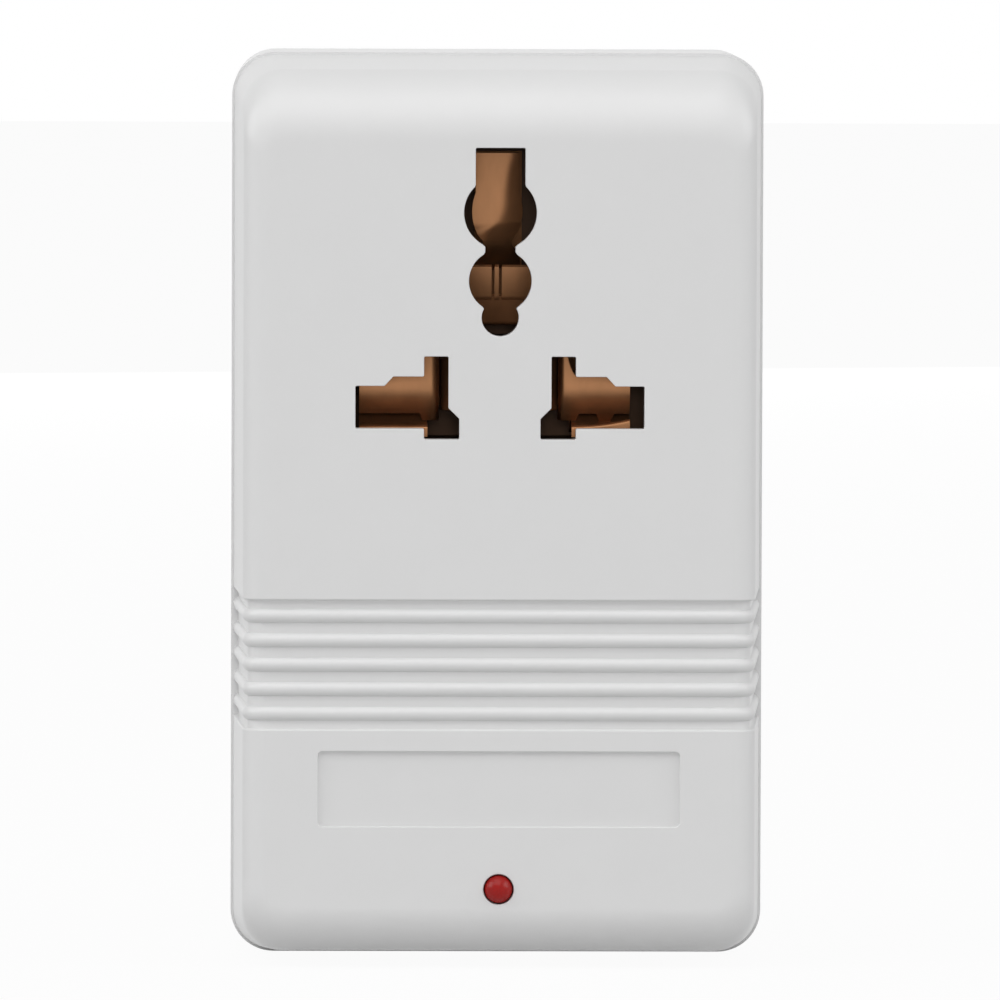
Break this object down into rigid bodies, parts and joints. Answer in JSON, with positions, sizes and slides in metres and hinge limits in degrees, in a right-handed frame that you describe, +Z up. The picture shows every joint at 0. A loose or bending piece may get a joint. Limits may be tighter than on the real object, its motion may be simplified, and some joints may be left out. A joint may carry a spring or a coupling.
{
  "type": "travel voltage converter",
  "caption": "Upright white two-shell converter with a universal outlet in its face, flat plug blades and a sliding voltage selector on its back, and a transformer inside.",
  "frame": {"origin": "on the base, under the middle of the housing's depth", "axes": "+X to the right seen from the front, +Y towards the back where the plug is, +Z up"},
  "size_m": [0.0544, 0.0686, 0.0924],
  "materials": {
    "white_shell": "satin moulded white plastic",
    "dark_insulator": "dark brown moulded insulator",
    "bronze": "stamped bronze, slightly tarnished",
    "plated_blade": "nickel plated brass",
    "steel": "zinc plated steel",
    "core_steel": "varnished silicon steel laminations",
    "copper": "enamelled copper wire",
    "bobbin_plastic": "natural nylon",
    "tape": "polyester tape",
    "tinned": "tinned wire",
    "lamp_red": "clear red epoxy",
    "circuit_board": "phenolic paper board",
    "component": "lacquered component",
    "diode": "black epoxy",
    "black_plastic": "moulded black plastic",
    "red_plastic": "moulded red plastic",
    "wire_black": "black wire insulation",
    "wire_white": "white wire insulation",
    "wire_red": "red wire insulation"
  },
  "bodies": {
    "housing": {"front_housing": "white_shell", "rear_housing": "white_shell", "housing_screws": "steel", "contact_carrier": "dark_insulator", "contact_retainer": "dark_insulator", "contact_retainer_screws": "steel", "live_contact": "bronze", "neutral_contact": "bronze", "earth_contact": "bronze", "led_lens": "lamp_red", "led_leads": "tinned", "led_board": "circuit_board", "led_resistor": "component", "led_diode": "diode", "core_e_stack": "core_steel", "core_i_stack": "core_steel", "bobbin": "bobbin_plastic", "primary_winding": "copper", "secondary_winding": "copper", "winding_tape": "tape", "bobbin_terminals": "tinned", "thermal_fuse": "tinned", "plug_blade_left": "plated_blade", "plug_blade_right": "plated_blade", "blade_retainer": "bobbin_plastic", "blade_retainer_screws": "steel", "selector_frame": "steel", "selector_screws": "steel", "selector_body": "black_plastic", "selector_terminals": "bronze", "blade_wire_left": "wire_black", "blade_wire_right": "wire_white", "fuse_wire": "wire_black", "output_wire_live": "wire_red", "output_wire_neutral": "wire_white", "selector_wires": "wire_red", "led_wires": "wire_black"},
    "selector": {"selector_slider": "red_plastic", "selector_wiper": "bronze"}
  },
  "joints": [
    {"name": "voltage_selector_slide", "type": "slide", "parent": "housing", "child": "selector", "axis": [1, 0, 0], "range_m": [0, 0.0035]}
  ]
}
